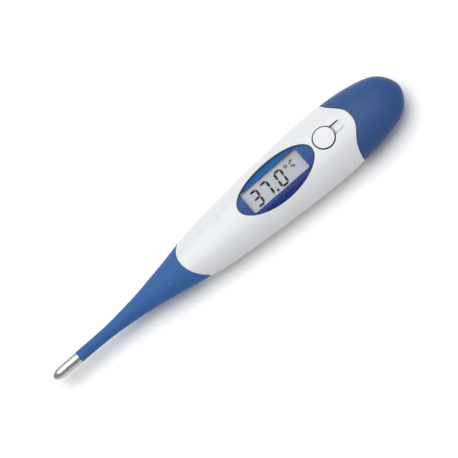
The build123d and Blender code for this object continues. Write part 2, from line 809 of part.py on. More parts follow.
# ---------------------------------------------------------------- power key
with BuildPart() as key_arm:
    add(form(0))
    add(form(ARM_DEPTH), mode=Mode.SUBTRACT)
    add(
        plate(KEY_STATION, ARM_END, -ARM_WIDTH / 2, ARM_WIDTH / 2, 1.0, 9.0),
        mode=Mode.INTERSECT,
    )
    add(arm_groove.part, mode=Mode.SUBTRACT)

with BuildPart() as power_button:
    add(form(-KEY_PROUD))
    add(form(KEY_DEPTH), mode=Mode.SUBTRACT)
    add(disc(KEY_STATION, KEY_RADIUS, 1.0, 9.0), mode=Mode.INTERSECT)
    fillet(power_button.edges().sort_by(Axis.Z)[-1], KEY_ROUND)
    add(key_arm.part)
    add(disc(KEY_STATION, PLUNGER_RADIUS, PLUNGER_BOTTOM, 5.5))
power_button.part.label = "power_button"
export_step(power_button.part, "parts/power_button.step")

# ---------------------------------------------------------------- battery bay
with BuildPart() as chassis_room:
    add(stretch(CAP_WALL + 0.3, NECK_END - 1, LENGTH))
    add(hollow(RUNNING))

with BuildPart() as chassis:
    add(
        plate(
            CHASSIS_START,
            BAY_START,
            -CHASSIS_HALF_WIDTH,
            CHASSIS_HALF_WIDTH,
            CHASSIS_BOTTOM,
            BOARD_BOTTOM - 0.05,
        )
    )
    for side in (-1, 1):
        rail = sorted((side * (BOARD_WIDTH / 2 + 0.05), side * (BOARD_WIDTH / 2 + 0.05 + RAIL)))
        add(plate(CHASSIS_START, BOARD_END, *rail, BOARD_BOTTOM - 0.4, BOARD_TOP + 0.1))
    add(
        disc(BUZZER_STATION, BUZZER_RADIUS + 0.2, BUZZER_TOP - 1, BOARD_BOTTOM),
        mode=Mode.SUBTRACT,
    )
    add(plate(BAY_START, BAY_END, -BAY_HALF_WIDTH, BAY_HALF_WIDTH, BAY_FLOOR, BAY_FLOOR_TOP))
    for side in (-1, 1):
        wall = sorted((side * BAY_HALF_WIDTH, side * (BAY_HALF_WIDTH - BAY_WALL)))
        add(plate(BAY_FRONT, BAY_END, *wall, BAY_FLOOR_TOP - 0.1, BAY_TOP))
        keeper = sorted((side * BAY_HALF_WIDTH, side * KEEPER_EDGE))
        add(plate(BAY_FRONT, BAY_END, *keeper, CELL_TOP + 0.2, BAY_TOP))
    add(
        plate(
            BAY_FRONT,
            BAY_FRONT + BAY_WALL,
            -BAY_HALF_WIDTH,
            BAY_HALF_WIDTH,
            BAY_FLOOR_TOP - 0.1,
            BAY_TOP,
        )
    )
    add(plate(BAY_FRONT - 1, BAY_FRONT + 1, -1.7, 1.7, BAY_FLOOR_TOP, BAY_TOP + 1), mode=Mode.SUBTRACT)
    add(chassis_room.part, mode=Mode.INTERSECT)
chassis.part.label = "chassis"
export_step(chassis.part, "parts/chassis.step")

# ---------------------------------------------------------------- button cell
with BuildPart() as battery_can:
    add(disc(CELL_STATION, CELL_RADIUS, CELL_BOTTOM + 0.2, CELL_TOP))
    add(
        disc(CELL_STATION, CELL_RADIUS - CELL_WALL, CELL_BOTTOM, CELL_TOP - CELL_WALL),
        mode=Mode.SUBTRACT,
    )
    fillet(battery_can.edges().filter_by(GeomType.CIRCLE).sort_by(Axis.Z)[-1], 0.3)
battery_can.part.label = "battery_can"
export_step(battery_can.part, "parts/battery_can.step")

with BuildPart() as battery_gasket:
    add(
        disc(
            CELL_STATION,
            CELL_RADIUS - CELL_WALL - 0.01,
            CELL_BOTTOM + 0.25,
            CELL_TOP - CELL_WALL - 0.05,
        )
    )
    add(
        disc(CELL_STATION, CELL_CAP_RADIUS + 0.01, CELL_BOTTOM, CELL_TOP - CELL_WALL - 0.6),
        mode=Mode.SUBTRACT,
    )
battery_gasket.part.label = "battery_gasket"
export_step(battery_gasket.part, "parts/battery_gasket.step")

with BuildPart() as battery_negative_cap:
    add(disc(CELL_STATION, CELL_CAP_RADIUS, CELL_BOTTOM, CELL_TOP - CELL_WALL - 0.65))
    fillet(battery_negative_cap.edges().filter_by(GeomType.CIRCLE).sort_by(Axis.Z)[0], 0.25)
battery_negative_cap.part.label = "battery_negative_cap"
export_step(battery_negative_cap.part, "parts/battery_negative_cap.step")


def bent_strip(route, width):
    """Metal strip bent along a line in (station, height)."""
    with BuildPart() as strip:
        with BuildSketch(SIDE_VIEW):
            with BuildLine() as middle:
                Polyline(*route)
            trace(middle.line, line_width=STRIP)
        extrude(amount=width / 2, both=True)
    return strip.part


with BuildPart() as positive_contact:
    add(bent_strip(POSITIVE_ROUTE, 2.4))
positive_contact.part.label = "positive_contact"
export_step(positive_contact.part, "parts/positive_contact.step")

with BuildPart() as negative_contact:
    add(bent_strip(NEGATIVE_ROUTE, 2.4))
negative_contact.part.label = "negative_contact"
export_step(negative_contact.part, "parts/negative_contact.step")

# ---------------------------------------------------------------- battery cap
with BuildPart() as cap_seal:
    add(ring(CAP_WALL + 0.04, NECK_INSET + SEAL_GROOVE - 0.03, seal_front, seal_rear))
cap_seal.part.label = "cap_seal"
export_step(cap_seal.part, "parts/cap_seal.step")

with BuildPart() as end_cap:
    add(form(0))
    add(cap_region(0), mode=Mode.INTERSECT)
    add(form(CAP_WALL), mode=Mode.SUBTRACT)
    fillet(rim(end_cap, CAP_SEAM[0][1]), CAP_ROUND)
end_cap.part.label = "end_cap"
export_step(end_cap.part, "parts/end_cap.step")
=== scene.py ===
# %% [markdown]
# # A stick thermometer with a flexible probe
# The frame holds the thermometer's pieces where they belong. This lesson sets up the camera and the
# light, replaces the cut-up probe with one soft skin, draws the display's digits, and gives every piece
# its finish. Lengths are metres. X runs from the metal tip to the battery cap, and Z points out of the
# display. Places along the thermometer are stations: millimetres from the end of the metal tip.

# %% Load the frame
import json
import math

import bpy
import numpy as np
from mathutils import Matrix, Vector


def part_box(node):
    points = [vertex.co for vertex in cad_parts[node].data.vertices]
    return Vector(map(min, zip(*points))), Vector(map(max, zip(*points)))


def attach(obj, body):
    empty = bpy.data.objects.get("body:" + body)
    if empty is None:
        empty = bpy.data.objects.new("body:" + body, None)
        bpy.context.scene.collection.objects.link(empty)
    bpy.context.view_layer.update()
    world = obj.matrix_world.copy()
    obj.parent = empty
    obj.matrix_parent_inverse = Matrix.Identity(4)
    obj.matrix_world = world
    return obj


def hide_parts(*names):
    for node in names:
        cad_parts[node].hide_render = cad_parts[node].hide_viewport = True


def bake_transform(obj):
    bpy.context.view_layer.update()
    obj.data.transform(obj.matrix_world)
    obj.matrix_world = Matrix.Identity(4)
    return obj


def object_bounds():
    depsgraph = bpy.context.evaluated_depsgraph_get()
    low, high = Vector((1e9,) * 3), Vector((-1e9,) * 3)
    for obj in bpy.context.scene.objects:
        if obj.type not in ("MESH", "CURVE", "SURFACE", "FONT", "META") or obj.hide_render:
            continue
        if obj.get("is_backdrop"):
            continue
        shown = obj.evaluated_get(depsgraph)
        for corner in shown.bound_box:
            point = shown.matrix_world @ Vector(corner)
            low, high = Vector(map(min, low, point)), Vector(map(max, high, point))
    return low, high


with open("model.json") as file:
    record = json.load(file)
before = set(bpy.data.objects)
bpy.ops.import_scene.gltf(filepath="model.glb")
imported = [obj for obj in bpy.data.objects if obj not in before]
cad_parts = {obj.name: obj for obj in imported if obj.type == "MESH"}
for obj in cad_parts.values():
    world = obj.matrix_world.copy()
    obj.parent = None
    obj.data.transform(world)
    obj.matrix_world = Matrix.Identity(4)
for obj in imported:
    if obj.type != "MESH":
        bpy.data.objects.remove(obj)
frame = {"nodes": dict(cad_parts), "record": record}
nodes = frame["nodes"]
cad_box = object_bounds()
MM = 0.001
whole_low, whole_high = cad_box
AXIS_HEIGHT = (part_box("probe_tip")[0].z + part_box("probe_tip")[1].z) / 2
print(f"{len(nodes)} pieces, {(whole_high.x - whole_low.x) / MM:.1f} mm long")

# %% [markdown]
# Camera. A product like this is shot from far away with a long lens, so that it keeps its proportions.
# The camera looks down at 68 degrees from the near side, and is rolled so that the long axis climbs to
# the upper right of the frame.

# %% Camera
ELEVATION = math.radians(68)
ROLL = math.radians(40.43)
DISTANCE = 1.3
SENSOR = 36.0
FRAME_WIDTH = 128.4 * MM  # what the frame takes in at the thermometer
target = Vector((1.05 * MM, 0.1 * MM, AXIS_HEIGHT))


def camera_axes(elevation, roll):
    """Right, up and back of a camera that looks along +Y and down, turned by roll about its own line of sight."""
    flat_right = Vector((1, 0, 0))
    flat_up = Vector((0, math.sin(elevation), math.cos(elevation)))
    right = flat_right * math.cos(roll) - flat_up * math.sin(roll)
    up = flat_right * math.sin(roll) + flat_up * math.cos(roll)
    return right, up, right.cross(up)


right, up, back = camera_axes(ELEVATION, ROLL)
lens = bpy.data.cameras.new("long_lens")
lens.sensor_width = SENSOR
lens.lens = SENSOR * DISTANCE / FRAME_WIDTH
lens.clip_end = 10.0
camera = bpy.data.objects.new("camera", lens)
bpy.context.scene.collection.objects.link(camera)
camera.matrix_world = Matrix.Translation(target + back * DISTANCE) @ Matrix(
    (right, up, back)
).transposed().to_4x4()
bpy.context.scene.camera = camera
bpy.context.scene.view_settings.view_transform = "Standard"
print(f"lens {lens.lens:.0f} mm at {DISTANCE} m")

# %% [markdown]
# Light. One very large soft panel overhead, a little to the far side, gives the white shell its even
# brightness and leaves its near side grey, so that the round form reads. Its size keeps its shadows soft
# and its reflection in the window faint. A long low panel behind draws a thin streak along the far edge.
# The world fills in the near side and thins the shadow, and white card is the floor.

# %% Light and floor


def softbox(name, place, size, power, long=1.0):
    """Panel of light at place, facing the thermometer, long times as wide as it is tall."""
    panel = bpy.data.lights.new(name, "AREA")
    panel.shape = "RECTANGLE"
    panel.size = size * long
    panel.size_y = size
    panel.energy = power
    lamp = bpy.data.objects.new(name, panel)
    bpy.context.scene.collection.objects.link(lamp)
    lamp.location = place
    lamp.rotation_mode = "QUATERNION"
    lamp.rotation_quaternion = (target - Vector(place)).to_track_quat("-Z", "Y")
    return lamp


key = softbox("key_panel", (-0.1, 0.33, 1.25), 1.4, 16.2)
streak = softbox("streak_panel", (0.1, 1.1, 0.35), 0.2, 0.8, long=5.0)
world = bpy.data.worlds.new("studio")
world.use_nodes = True
world.node_tree.nodes["Background"].inputs["Color"].default_value = (1, 1, 1, 1)
world.node_tree.nodes["Background"].inputs["Strength"].default_value = 0.48
bpy.context.scene.world = world

HALF_FLOOR = 2.5
floor_mesh = bpy.data.meshes.new("floor")
floor_mesh.from_pydata(
    [(x * HALF_FLOOR, y * HALF_FLOOR, 0) for x, y in ((-1, -1), (1, -1), (1, 1), (-1, 1))],
    [],
    [(0, 1, 2, 3)],
)
floor = bpy.data.objects.new("floor", floor_mesh)
bpy.context.scene.collection.objects.link(floor)
floor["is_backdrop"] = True
card = bpy.data.materials.new("white_card")
card.use_nodes = True
card.node_tree.nodes["Principled BSDF"].inputs["Base Color"].default_value = (0.97, 0.97, 0.97, 1)
card.node_tree.nodes["Principled BSDF"].inputs["Roughness"].default_value = 0.9
card.node_tree.nodes["Principled BSDF"].inputs["Specular IOR Level"].default_value = 0.1
floor_mesh.materials.append(card)
print("two panels and a floor")

# %% [markdown]
# A finish is built from a few nodes that are the same each time: noise in the piece's own coordinates,
# in millimetres, so that a grain can be given its true size. The noise is spread onto colour, onto
# roughness and, through a bump, onto the surface. Stretching the coordinates turns a grain into streaks.

# %% Helpers for finishes


class Finish:
    """A material under construction: its shader, and coordinates in millimetres."""

    def __init__(self, name):
        self.material = bpy.data.materials.new(name)
        self.material.use_nodes = True
        self.tree = self.material.node_tree
        self.shader = self.tree.nodes["Principled BSDF"]
        self.coordinates = self.tree.nodes.new("ShaderNodeTexCoord").outputs["Object"]

    def link(self, output, socket):
        self.tree.links.new(output, socket)

    def stretched(self, x, y, z):
        """The piece's coordinates, so many grains to the millimetre along each axis."""
        mapping = self.tree.nodes.new("ShaderNodeMapping")
        mapping.inputs["Scale"].default_value = (x / MM, y / MM, z / MM)
        self.link(self.coordinates, mapping.inputs["Vector"])
        return mapping.outputs["Vector"]

    def noise(self, x, y=None, z=None, detail=2.0, rough=0.5):
        """Cloudy noise of x grains to the millimetre, or of x, y and z along the three axes."""
        grain = self.tree.nodes.new("ShaderNodeTexNoise")
        grain.inputs["Scale"].default_value = 1.0
        grain.inputs["Detail"].default_value = detail
        grain.inputs["Roughness"].default_value = rough
        self.link(self.stretched(x, y or x, z or x), grain.inputs["Vector"])
        return grain.outputs["Fac"]

    def spread(self, value, low, high, start=0.3, end=0.7):
        """value from start to end, mapped to low to high."""
        mapped = self.tree.nodes.new("ShaderNodeMapRange")
        mapped.inputs["From Min"].default_value = start
        mapped.inputs["From Max"].default_value = end
        mapped.inputs["To Min"].default_value = low
        mapped.inputs["To Max"].default_value = high
        self.link(value, mapped.inputs["Value"])
        return mapped.outputs["Result"]

    def colours(self, value, first, second, start=0.3, end=0.7):
        """Colour that goes from first to second with value."""
        mix = self.tree.nodes.new("ShaderNodeMix")
        mix.data_type = "RGBA"
        mix.inputs["A"].default_value = (*first, 1)
        mix.inputs["B"].default_value = (*second, 1)
        self.link(self.spread(value, 0.0, 1.0, start, end), mix.inputs["Factor"])
        return mix.outputs["Result"]

    def bumps(self, *layers):
        """Bumps one on another: each layer is a value and its height in millimetres."""
        normal = None
        for value, height in layers:
            bump = self.tree.nodes.new("ShaderNodeBump")
            bump.inputs["Strength"].default_value = 1.0
            bump.inputs["Distance"].default_value = height * MM
            self.link(value, bump.inputs["Height"])
            if normal:
                self.link(normal, bump.inputs["Normal"])
            normal = bump.outputs["Normal"]
        self.link(normal, self.shader.inputs["Normal"])

    def set(self, **sockets):
        """Set the shader's own sockets: a link where the value is a node's output, else a number or a colour."""
        for name, value in sockets.items():
            socket = self.shader.inputs[name.replace("_", " ")]
            if isinstance(value, bpy.types.NodeSocket):
                self.link(value, socket)
            else:
                socket.default_value = (*value, 1) if isinstance(value, tuple) else value


finishes = {}
print("helpers for finishes are ready")

# %% [markdown]
# White shell. The housing and the key are injection-moulded ABS. The tool is polished, so the plastic is
# semi-gloss, but it has a faint orange peel and a very slight unevenness of tone where the walls cool at
# different speeds. Two noises give the two: one of a few grains to the millimetre for the peel, and one
# of several millimetres for the tone. In the slits round the key the colour is painted dark grey wherever
# an ambient occlusion node finds that a place is hemmed in: this is painted shade in the slits. The rest
# of the shell has no painted shade: the larger of two values, nearness to open air and distance from the
# key, wins.

# %% White shell
KEY_REGION = (32.5, 34.0)  # X in millimetres, where the key's slits begin
white = Finish("white_shell")
tone = white.noise(0.12, detail=3.0)
peel = white.noise(2.2, detail=2.0)
scuffs = white.noise(0.35, 6.0, 6.0, detail=4.0, rough=0.65)
hemmed_in = white.tree.nodes.new("ShaderNodeAmbientOcclusion")
hemmed_in.inputs["Distance"].default_value = 1.2 * MM
hemmed_in.samples = 8
# Painted shade: near the key, this mix turns the shell dark grey where the ambient occlusion node finds a slit.
painted_slit_shade = white.tree.nodes.new("ShaderNodeMix")
painted_slit_shade.data_type = "RGBA"
painted_slit_shade.inputs["A"].default_value = (0.035, 0.036, 0.042, 1)
white.link(white.colours(tone, (0.645, 0.658, 0.678), (0.670, 0.682, 0.698)), painted_slit_shade.inputs["B"])
place = white.tree.nodes.new("ShaderNodeSeparateXYZ")
white.link(white.stretched(1, 1, 1), place.inputs["Vector"])
away_from_key = white.spread(place.outputs["X"], 1.0, 0.0, *KEY_REGION)
no_painted_shade = white.tree.nodes.new("ShaderNodeMath")
no_painted_shade.operation = "MAXIMUM"
white.link(white.spread(hemmed_in.outputs["AO"], 0.0, 1.0, 0.42, 0.9), no_painted_shade.inputs[0])
white.link(away_from_key, no_painted_shade.inputs[1])
white.link(no_painted_shade.outputs["Value"], painted_slit_shade.inputs["Factor"])
white.set(
    Base_Color=painted_slit_shade.outputs["Result"],
    Roughness=white.spread(scuffs, 0.24, 0.36),
    IOR=1.52,
    Subsurface_Weight=0.06,
    Subsurface_Scale=0.001,
)
white.bumps((peel, 0.0022), (white.noise(14.0), 0.0006))
finishes["white_shell"] = white.material

# %% [markdown]
# Blue cap. It is a harder blue plastic from a spark-eroded tool, so its surface is a fine, even grain
# that breaks reflections up into a satin sheen. The grain is about an eighth of a millimetre. Where the
# fingers pull the cap, the grain is a little polished, which is a slow change of roughness.

# %% Blue cap
cap = Finish("blue_cap")
spark = cap.noise(7.0, detail=3.0, rough=0.6)
polish = cap.noise(0.2, detail=2.0)
flecks = cap.noise(11.0, detail=1.0)
cap.set(
    Base_Color=cap.colours(flecks, (0.024, 0.069, 0.200), (0.031, 0.083, 0.235)),
    Roughness=cap.spread(polish, 0.32, 0.42),
    IOR=1.5,
    Specular_IOR_Level=0.2,
)
cap.bumps((spark, 0.011), (cap.noise(1.1, detail=2.0), 0.004))
finishes["blue_cap"] = cap.material

# %% [markdown]
# Blue rubber. The flexible probe is an overmoulded elastomer with a skin that has no gloss. Pigment and
# flow give it faint streaks along its length, and its matte grain is finer than that of the cap. A thin
# sheen imitates the dusty edge that soft rubber has.

# %% Blue rubber
rubber = Finish("blue_rubber")
flow = rubber.noise(0.35, 2.6, 2.6, detail=5.0, rough=0.6)
matte = rubber.noise(9.0, detail=3.0, rough=0.65)
mottle = rubber.noise(1.6, 3.0, 3.0, detail=3.0)
rubber.set(
    Base_Color=rubber.colours(flow, (0.0235, 0.093, 0.283), (0.0325, 0.120, 0.337)),
    Roughness=rubber.spread(mottle, 0.5, 0.64),
    IOR=1.46,
    Specular_IOR_Level=0.22,
    Sheen_Weight=0.04,
    Sheen_Roughness=0.5,
)
rubber.bumps((matte, 0.010), (mottle, 0.006))
finishes["blue_rubber"] = rubber.material

# %% [markdown]
# Steel tip. A thin stainless cup is drawn and then polished as it spins, which leaves very fine rings
# round it. The noise is stretched round the axis, so that it varies along X only, and it drives both the
# roughness and a bump of a fraction of a thousandth of a millimetre.

# %% Steel tip
tip = Finish("tip_steel")
rings = tip.noise(9.0, 0.25, 0.25, detail=4.0, rough=0.7)
smear = tip.noise(0.6, 1.2, 1.2, detail=3.0)
tip.set(
    Base_Color=tip.colours(smear, (0.42, 0.42, 0.415), (0.52, 0.515, 0.505)),
    Metallic=1.0,
    Roughness=tip.spread(rings, 0.12, 0.26),
)
tip.bumps((rings, 0.0012), (smear, 0.002))
finishes["tip_steel"] = tip.material

# %% [markdown]
# Window. The lens is clear acrylic that follows the top of the housing. It lets light through in both
# directions and adds a faint mirror, so its material mixes plain transparency with a glossy shader by
# Fresnel's law, on its outer faces only. Refraction through a piece under a millimetre thick can't be
# seen, and leaving it out keeps the display bright. Its upright edge carries the blue ink of the mask,
# which is found by the direction that the surface faces: the edge faces sideways, not up.

# %% Clear lens
# Shaded and lit blues of the printed mask: the darker one is painted shade, the lighter one a painted reflection.
MASK_BLUE_SHADED = (0.016, 0.030, 0.175)
MASK_BLUE_LIT = (0.017, 0.108, 0.305)
clear = Finish("clear_lens")
tree = clear.tree
passing = tree.nodes.new("ShaderNodeBsdfTransparent")
passing.inputs["Color"].default_value = (0.965, 0.975, 0.985, 1)
fresnel = tree.nodes.new("ShaderNodeFresnel")
fresnel.inputs["IOR"].default_value = 1.22
face = tree.nodes.new("ShaderNodeNewGeometry")
outside = tree.nodes.new("ShaderNodeMath")
outside.operation = "MULTIPLY_ADD"
outside.inputs[1].default_value = -1.0
outside.inputs[2].default_value = 1.0
clear.link(face.outputs["Backfacing"], outside.inputs[0])
mirror_share = tree.nodes.new("ShaderNodeMath")
mirror_share.operation = "MULTIPLY"
clear.link(fresnel.outputs["Fac"], mirror_share.inputs[0])
clear.link(outside.outputs["Value"], mirror_share.inputs[1])
hairlines = clear.noise(0.4, 9.0, 9.0, detail=4.0, rough=0.7)
clear.set(
    Base_Color=(0.95, 0.97, 1.0),
    Metallic=1.0,
    Roughness=clear.spread(hairlines, 0.03, 0.09, 0.45, 0.7),
)
clear.bumps((clear.noise(0.25, detail=2.0), 0.001))
window_mix = tree.nodes.new("ShaderNodeMixShader")
clear.link(mirror_share.outputs["Value"], window_mix.inputs["Fac"])
clear.link(passing.outputs["BSDF"], window_mix.inputs[1])
clear.link(clear.shader.outputs["BSDF"], window_mix.inputs[2])
edge_ink = tree.nodes.new("ShaderNodeBsdfDiffuse")
edge_ink.inputs["Color"].default_value = (*MASK_BLUE_LIT, 1)
facing = tree.nodes.new("ShaderNodeTexCoord")
facing_up = tree.nodes.new("ShaderNodeSeparateXYZ")
clear.link(facing.outputs["Normal"], facing_up.inputs["Vector"])
upright = tree.nodes.new("ShaderNodeMath")
upright.operation = "COMPARE"
upright.inputs[1].default_value = 0.0
upright.inputs[2].default_value = 0.3
clear.link(facing_up.outputs["Z"], upright.inputs[0])
whole_lens = tree.nodes.new("ShaderNodeMixShader")
clear.link(upright.outputs["Value"], whole_lens.inputs["Fac"])
clear.link(window_mix.outputs["Shader"], whole_lens.inputs[1])
clear.link(edge_ink.outputs["BSDF"], whole_lens.inputs[2])
clear.link(whole_lens.outputs["Shader"], tree.nodes["Material Output"].inputs["Surface"])
finishes["clear_lens"] = clear.material
print("the lens mirrors on its outer faces and is inked on its edge")

# %% [markdown]
# Printed mask. The blue round the display is screen-printed on the back of the lens. Its colour is
# painted lighter blue on the far half and violet blue on the near half: a painted reflection on the far
# half and painted shade on the near half. The mesh of the screen leaves a barely visible regular grain.

# %% Printed mask
print_blue = Finish("blue_mask")
ink = print_blue.noise(5.0, detail=2.0)
split = print_blue.tree.nodes.new("ShaderNodeSeparateXYZ")
print_blue.link(print_blue.stretched(1, 1, 1), split.inputs["Vector"])
# Painted reflection and shade: a blend along Y from the shaded blue on the near side to the lit blue on the far side.
painted_light_gradient = print_blue.tree.nodes.new("ShaderNodeMix")
painted_light_gradient.data_type = "RGBA"
print_blue.link(
    print_blue.colours(ink, MASK_BLUE_SHADED, tuple(1.1 * part for part in MASK_BLUE_SHADED)), painted_light_gradient.inputs["A"]
)
print_blue.link(
    print_blue.colours(ink, MASK_BLUE_LIT, tuple(1.1 * part for part in MASK_BLUE_LIT)), painted_light_gradient.inputs["B"]
)
print_blue.link(
    print_blue.spread(split.outputs["Y"], 0.0, 1.0, -5.0, 3.5), painted_light_gradient.inputs["Factor"]
)
print_blue.set(
    Base_Color=painted_light_gradient.outputs["Result"], Roughness=0.5, Specular_IOR_Level=0.04
)
print_blue.bumps((ink, 0.001))
finishes["blue_mask"] = print_blue.material

# %% [markdown]
# Display. The front polariser is a film with an anti-glare face, which scatters light, so a bright cell
# looks like pale grey paper. The reflector behind the glass is a satin foil.

# %% Display films and glass
film = Finish("polariser")
glare = film.noise(22.0, detail=2.0)
film.set(
    Base_Color=film.colours(film.noise(0.3, detail=3.0), (0.470, 0.471, 0.481), (0.498, 0.499, 0.508)),
    Roughness=film.spread(glare, 0.4, 0.55),
    Specular_IOR_Level=0.1,
)
film.bumps((glare, 0.003))
finishes["polariser"] = film.material

glass = Finish("lcd_glass")
glass.set(
    Base_Color=glass.colours(glass.noise(0.5), (0.60, 0.66, 0.63), (0.66, 0.71, 0.68)),
    Roughness=glass.spread(glass.noise(3.0), 0.03, 0.10),
    Alpha=0.55,
)
glass.bumps((glass.noise(0.6), 0.002))
finishes["lcd_glass"] = glass.material

foil = Finish("reflector")
foil_grain = foil.noise(1.0, 18.0, 18.0, detail=3.0)
foil.set(
    Base_Color=foil.colours(foil_grain, (0.62, 0.63, 0.62), (0.70, 0.71, 0.70)),
    Metallic=0.6,
    Roughness=foil.spread(foil_grain, 0.35, 0.5),
)
foil.bumps((foil_grain, 0.003))
finishes["reflector"] = foil.material
print(sorted(finishes))

# %% [markdown]
# Resins, rubbers and inner plastics. What is inside is seen only when the cap is off, but each piece is
# still of its own stuff. One function makes the plain ones: a colour that drifts, a roughness that
# drifts with it, and a grain of a given size and height.

# %% Plain moulded and cast finishes


def moulded(name, dark, light, grain, height, rough, metallic=0.0):
    """Finish with colour from dark to light and roughness over rough, with a grain and its height in mm."""
    plain = Finish(name)
    drift = plain.noise(grain / 8, detail=4.0, rough=0.6)
    fine = plain.noise(grain, detail=2.0)
    plain.set(
        Base_Color=plain.colours(drift, dark, light),
        Roughness=plain.spread(fine, *rough),
        Metallic=metallic,
    )
    plain.bumps((fine, height), (drift, height))
    finishes[name] = plain.material
    return plain


moulded("potting", (0.008, 0.008, 0.010), (0.02, 0.02, 0.022), 4.0, 0.004, (0.2, 0.4))
moulded("sensor_bead", (0.06, 0.04, 0.03), (0.11, 0.08, 0.06), 8.0, 0.004, (0.15, 0.3))
moulded("lead_wire", (0.42, 0.02, 0.015), (0.55, 0.035, 0.025), 9.0, 0.002, (0.25, 0.4))
moulded("inner_plastic", (0.60, 0.60, 0.575), (0.68, 0.68, 0.65), 5.0, 0.008, (0.4, 0.58))
moulded("chip_resin", (0.004, 0.004, 0.005), (0.012, 0.012, 0.013), 6.0, 0.005, (0.3, 0.5))
moulded("chip_parts", (0.16, 0.11, 0.07), (0.30, 0.23, 0.16), 7.0, 0.004, (0.35, 0.55))
moulded("buzzer_element", (0.58, 0.58, 0.56), (0.70, 0.70, 0.68), 9.0, 0.005, (0.35, 0.5), 0.3)
moulded("cell_gasket", (0.015, 0.06, 0.03), (0.025, 0.09, 0.045), 6.0, 0.003, (0.35, 0.5))
moulded("seal_rubber", (0.010, 0.010, 0.011), (0.022, 0.022, 0.024), 7.0, 0.006, (0.4, 0.6))

# %% [markdown]
# Metals. Contact strips and the button cell's can are nickel-plated steel with rolling marks along the
# sheet, and the buzzer's plate is rolled brass. The marks are long thin grains, a little duller than
# the rest, with slow stains of handling over them.

# %% Rolled metals


def rolled(name, dark, light, rough):
    """Metal sheet with marks that run along X, and slow stains."""
    sheet = Finish(name)
    marks = sheet.noise(0.5, 14.0, 14.0, detail=4.0, rough=0.65)
    stains = sheet.noise(0.4, detail=3.0)
    sheet.set(
        Base_Color=sheet.colours(stains, dark, light),
        Metallic=1.0,
        Roughness=sheet.spread(marks, *rough),
    )
    sheet.bumps((marks, 0.0012))
    finishes[name] = sheet.material


rolled("contact_steel", (0.60, 0.58, 0.53), (0.74, 0.72, 0.66), (0.18, 0.34))
rolled("cell_steel", (0.66, 0.66, 0.66), (0.78, 0.78, 0.78), (0.14, 0.30))
rolled("buzzer_brass", (0.60, 0.40, 0.13), (0.72, 0.51, 0.20), (0.2, 0.38))

# %% [markdown]
# Layered rubber connector. It is a stack of hundreds of conducting and insulating rubber slices, side by
# side along the display's edge, each a twentieth of a millimetre. A banded wave along X gives the slices.
# The board is glass-fibre laminate under a green solder mask, through which the copper tracks show as
# raised, slightly brighter lines. A brick pattern with thin mortar makes a plausible grid of tracks.

# %% Connector and board
zebra = Finish("connector_rubber")
slices = zebra.tree.nodes.new("ShaderNodeTexWave")
slices.wave_type = "BANDS"
slices.bands_direction = "X"
slices.inputs["Scale"].default_value = 0.5
zebra.link(zebra.stretched(6.28, 6.28, 6.28), slices.inputs["Vector"])
zebra.set(
    Base_Color=zebra.colours(slices.outputs["Fac"], (0.012, 0.012, 0.013), (0.20, 0.10, 0.08)),
    Roughness=zebra.spread(zebra.noise(8.0), 0.45, 0.6),
)
zebra.bumps((slices.outputs["Fac"], 0.004))
finishes["connector_rubber"] = zebra.material

laminate = Finish("board")
tracks = laminate.tree.nodes.new("ShaderNodeTexBrick")
tracks.inputs["Scale"].default_value = 1.0
tracks.inputs["Mortar Size"].default_value = 0.03
tracks.inputs["Mortar Smooth"].default_value = 0.3
tracks.inputs["Brick Width"].default_value = 0.9
tracks.inputs["Row Height"].default_value = 0.45
laminate.link(laminate.stretched(0.5, 0.5, 0.5), tracks.inputs["Vector"])
weave = laminate.noise(3.0, detail=3.0)
green = laminate.tree.nodes.new("ShaderNodeMix")
green.data_type = "RGBA"
green.inputs["B"].default_value = (0.012, 0.19, 0.055, 1)
laminate.link(laminate.colours(weave, (0.004, 0.060, 0.020), (0.006, 0.085, 0.030)), green.inputs["A"])
laminate.link(tracks.outputs["Fac"], green.inputs["Factor"])
laminate.set(Base_Color=green.outputs["Result"], Roughness=laminate.spread(weave, 0.28, 0.42))
laminate.bumps((tracks.outputs["Fac"], 0.03), (weave, 0.004))
finishes["board"] = laminate.material

# %% [markdown]
# The frame's record says which finish each piece takes. Every CAD piece gets the one made for its slot.

# %% Finishes onto the frame's pieces
for entry in frame["record"]["subparts"]:
    node = nodes[entry["node"]]
    node.data.materials.clear()
    node.data.materials.append(finishes[entry["material_slot"]])

# %% [markdown]
# Probe skin. The real probe is one soft moulding: nearly round at the steel tip, and spreading into a
# flattened oval where it meets the housing. In the frame it is cut into stiff links, so that it can bend.
# Here it becomes a skin of closed sleeves that meet in the middle of each link. The sections below are
# those of the outer form.

# %% The outer form
# Station, half width, rise above the long axis and drop below it, in millimetres
SECTIONS = np.array(
    [
        (9.25, 1.70, 1.70, 1.70),
        (15.0, 1.72, 1.72, 1.72),
        (21.0, 1.88, 1.85, 1.85),
        (27.0, 2.42, 2.30, 2.30),
        (33.0, 3.15, 2.80, 2.85),
        (39.0, 4.20, 3.35, 3.50),
        (45.0, 5.35, 3.90, 4.30),
        (51.0, 6.65, 4.45, 5.00),
        (57.0, 7.80, 4.95, 5.50),
        (63.0, 8.50, 5.30, 5.85),
    ]
)
HALF_LENGTH = 63.5
AROUND = 96
turn = np.linspace(0, 2 * np.pi, AROUND, endpoint=False)


def along(column, station):
    """Cubic curve through one column of the sections: it passes each value with the mean slope of its neighbours."""
    stations, values = SECTIONS[:, 0], SECTIONS[:, column]
    slopes = np.gradient(values, stations)
    k = np.clip(np.searchsorted(stations, station) - 1, 0, len(stations) - 2)
    step = stations[k + 1] - stations[k]
    t = (station - stations[k]) / step
    return (
        (2 * t**3 - 3 * t**2 + 1) * values[k]
        + (t**3 - 2 * t**2 + t) * step * slopes[k]
        + (3 * t**2 - 2 * t**3) * values[k + 1]
        + (t**3 - t**2) * step * slopes[k + 1]
    )


